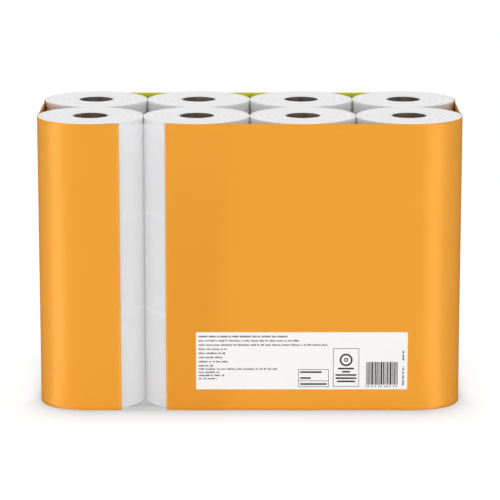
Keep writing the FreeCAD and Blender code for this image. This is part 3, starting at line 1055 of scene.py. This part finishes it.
def band(name, s, outer, inner, slot, replaced, field_of=None):
    """A stretch of sleeve between two reaches: the grid goes up the outer face, over
    the top rim, down the inner face and under the bottom rim."""
    closed = s[-1] - s[0] >= LOOP - 1e-9
    fields = np.zeros(len(s) - 1, int) if field_of is None else field_of((s[:-1] + s[1:]) / 2)
    if closed:
        s = s[:-1]
    up = np.linspace(0, 1, int(PACK_HEIGHT / STEP_UP) + 1)
    share = np.concatenate([up, up[::-1]])[:, None]
    reach = np.concatenate([np.full(len(up), outer), np.full(len(up), inner)])[:, None]
    along = np.broadcast_to(s, (len(share), len(s)))
    points = sleeve_point(along, share * (PACK_HEIGHT - EDGE_DROP), reach)
    faces = grid_faces(len(share), len(s), closed)[:, ::-1]
    fields = np.tile(fields, len(share))
    if not closed:
        rims = end_rims(len(up), len(s))
        faces = np.concatenate([faces, rims])
        fields = np.concatenate([fields, np.zeros(len(rims), int)])
    looks = [slot] if field_of is None else FIELDS
    return make_piece(name, points, faces, looks, replaced, face_material=fields)


def end_rims(up, columns):
    """Faces that close a band's two cut ends, from the outer to the inner face."""
    low = np.arange(up - 1)
    outer, inner = low, 2 * up - 1 - low
    last = columns - 1
    first_rim = np.stack([outer, outer + 1, inner - 1, inner], axis=1) * columns
    last_rim = np.stack([outer, inner, inner - 1, outer + 1], axis=1) * columns + last
    return np.concatenate([first_rim, last_rim])


FIELDS = ("clear_film", "orange_ink", "yellow_ink")


def field_at(s):
    """Number of the field whose colour shows through the film at a distance."""
    clear = (s > WINDOW_START) & (s < WINDOW_END)
    yellow = (s > FAR_RIGHT) & (s < FAR_LEFT)
    return np.where(clear, 0, np.where(yellow, 2, 1))


LOOP_STEPS = even_steps(0, WINDOW_START, WINDOW_END, FAR_RIGHT, FAR_LEFT, LOOP)
film_inner = FILM_INSIDE + LAYER_GAP
band("film_band", LOOP_STEPS, FILM_REACH, film_inner, "clear_film", ["film_sleeve"], field_at)
for name, node, slot, ends in (
    ("orange_ink_right", "orange_print_right", "orange_ink", (WINDOW_END, FAR_RIGHT)),
    ("orange_ink_left", "orange_print_left", "orange_ink", (FAR_LEFT, LOOP, LOOP + WINDOW_START)),
    ("yellow_ink_far", "yellow_print", "yellow_ink", (FAR_RIGHT, FAR_LEFT)),
):
    band(name, even_steps(*ends), INK_REACH, INK_INSIDE, slot, [node])

# %% [markdown]
# ## Label
#
# The white panel, the bar field and the two boxed marks are flat patches of ink, and the
# model has them in their true shape, so they keep it and only get their material. Lines of
# text are different: the model has each as one bar, while print is a row of small marks.
# So each bar is filled with blocks as wide and as high as letters are, in words, which
# read as text from afar and say nothing.

# %% Finish the label's flat patches
LABEL_INKS = {
    "label_panel": "white_ink",
    "label_small_box": "dark_ink",
    "label_tall_box": "dark_ink",
    "label_barcode": "dark_ink",
}
for node, material in LABEL_INKS.items():
    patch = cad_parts[node]
    patch.data.materials.clear()
    patch.data.materials.append(MATERIALS[material])

# %% Fill the lines of text with words
LETTER_WIDTHS = (0.55 * MM, 1.2 * MM)
LETTER_GAP = 0.36 * MM
WORD_GAP = 1.1 * MM
SAME_LEVEL = 0.01 * MM


def letter_spans(length, rng):
    """Start and end of each letter along a line, in words of two to nine letters."""
    spans, at = [], 0.0
    while at < length - LETTER_WIDTHS[0]:
        for _ in range(rng.integers(2, 10)):
            wide = rng.uniform(*LETTER_WIDTHS)
            if at + wide > length:
                break
            spans.append((at, at + wide))
            at += wide + LETTER_GAP
        at += WORD_GAP
    return np.array(spans)


def letter_boxes(low, high, rng, upright=False, share=0.3):
    """Boxes of letters in a line's bar: x and z of two corners each. A share of them
    fills the whole height, as capitals do, and the others three quarters of it."""
    along, across = (2, 0) if upright else (0, 2)
    spans = letter_spans(high[along] - low[along], rng) + low[along]
    tall = np.where(rng.random(len(spans)) < share, 1.0, 0.75)
    depth = (high[across] - low[across]) * tall
    start, stop = spans.T
    if upright:
        return np.stack([high[0] - depth, start, np.full(len(spans), high[0]), stop], axis=1)
    return np.stack([start, np.full(len(spans), low[2]), stop, low[2] + depth], axis=1)


def print_letters(name, node, boxes, front, back):
    """Each box as a thin block: four corners in front and four behind."""
    left, foot, right, head = boxes.T
    x = np.stack([left, right, right, left] * 2, axis=1)
    z = np.stack([foot, foot, head, head] * 2, axis=1)
    y = np.tile([front] * 4 + [back] * 4, (len(boxes), 1))
    points = np.stack([x, y, z], axis=-1)
    sides = [[1, 5, 6, 2], [4, 0, 3, 7], [3, 2, 6, 7], [4, 5, 1, 0]]
    block = np.array([[0, 1, 2, 3], [5, 4, 7, 6], *sides])
    faces = (block + 8 * np.arange(len(boxes))[:, None, None]).reshape(-1, 4)
    piece = make_piece(name, points, faces, ["dark_ink"], [node])
    piece.data.polygons.foreach_set("use_smooth", np.zeros(len(faces), bool))
    print(name, "has", len(boxes), "letters")


def bars_of(name):
    """Boxes of a node's separate bars, told apart by the heights at which each starts and
    stops, because no two overlap in height."""
    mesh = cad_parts[name].data
    points = np.empty(len(mesh.vertices) * 3, np.float32)
    mesh.vertices.foreach_get("co", points)
    points = points.reshape(-1, 3).astype(float)
    height = points[:, 2]
    levels = np.unique(np.round(height, 6))
    bars = []
    for start, stop in zip(levels[::2], levels[1::2]):
        mine = points[(height > start - SAME_LEVEL) & (height < stop + SAME_LEVEL)]
        bars.append((mine.min(0), mine.max(0)))
    return bars


text_rng = np.random.default_rng(11)
front, back = (corner[1] for corner in node_box("label_text"))
bars = bars_of("label_text")
lines = [letter_boxes(*bar, text_rng) for bar in bars[:-1]]
lines.append(letter_boxes(*bars[-1], text_rng, share=1.0))
print_letters("label_words", "label_text", np.concatenate(lines), front, back)
side_bars = bars_of("label_side_text")
side_lines = [letter_boxes(*bar, text_rng, upright=True, share=0.8) for bar in side_bars]
print_letters("label_side_words", "label_side_text", np.concatenate(side_lines), front, back)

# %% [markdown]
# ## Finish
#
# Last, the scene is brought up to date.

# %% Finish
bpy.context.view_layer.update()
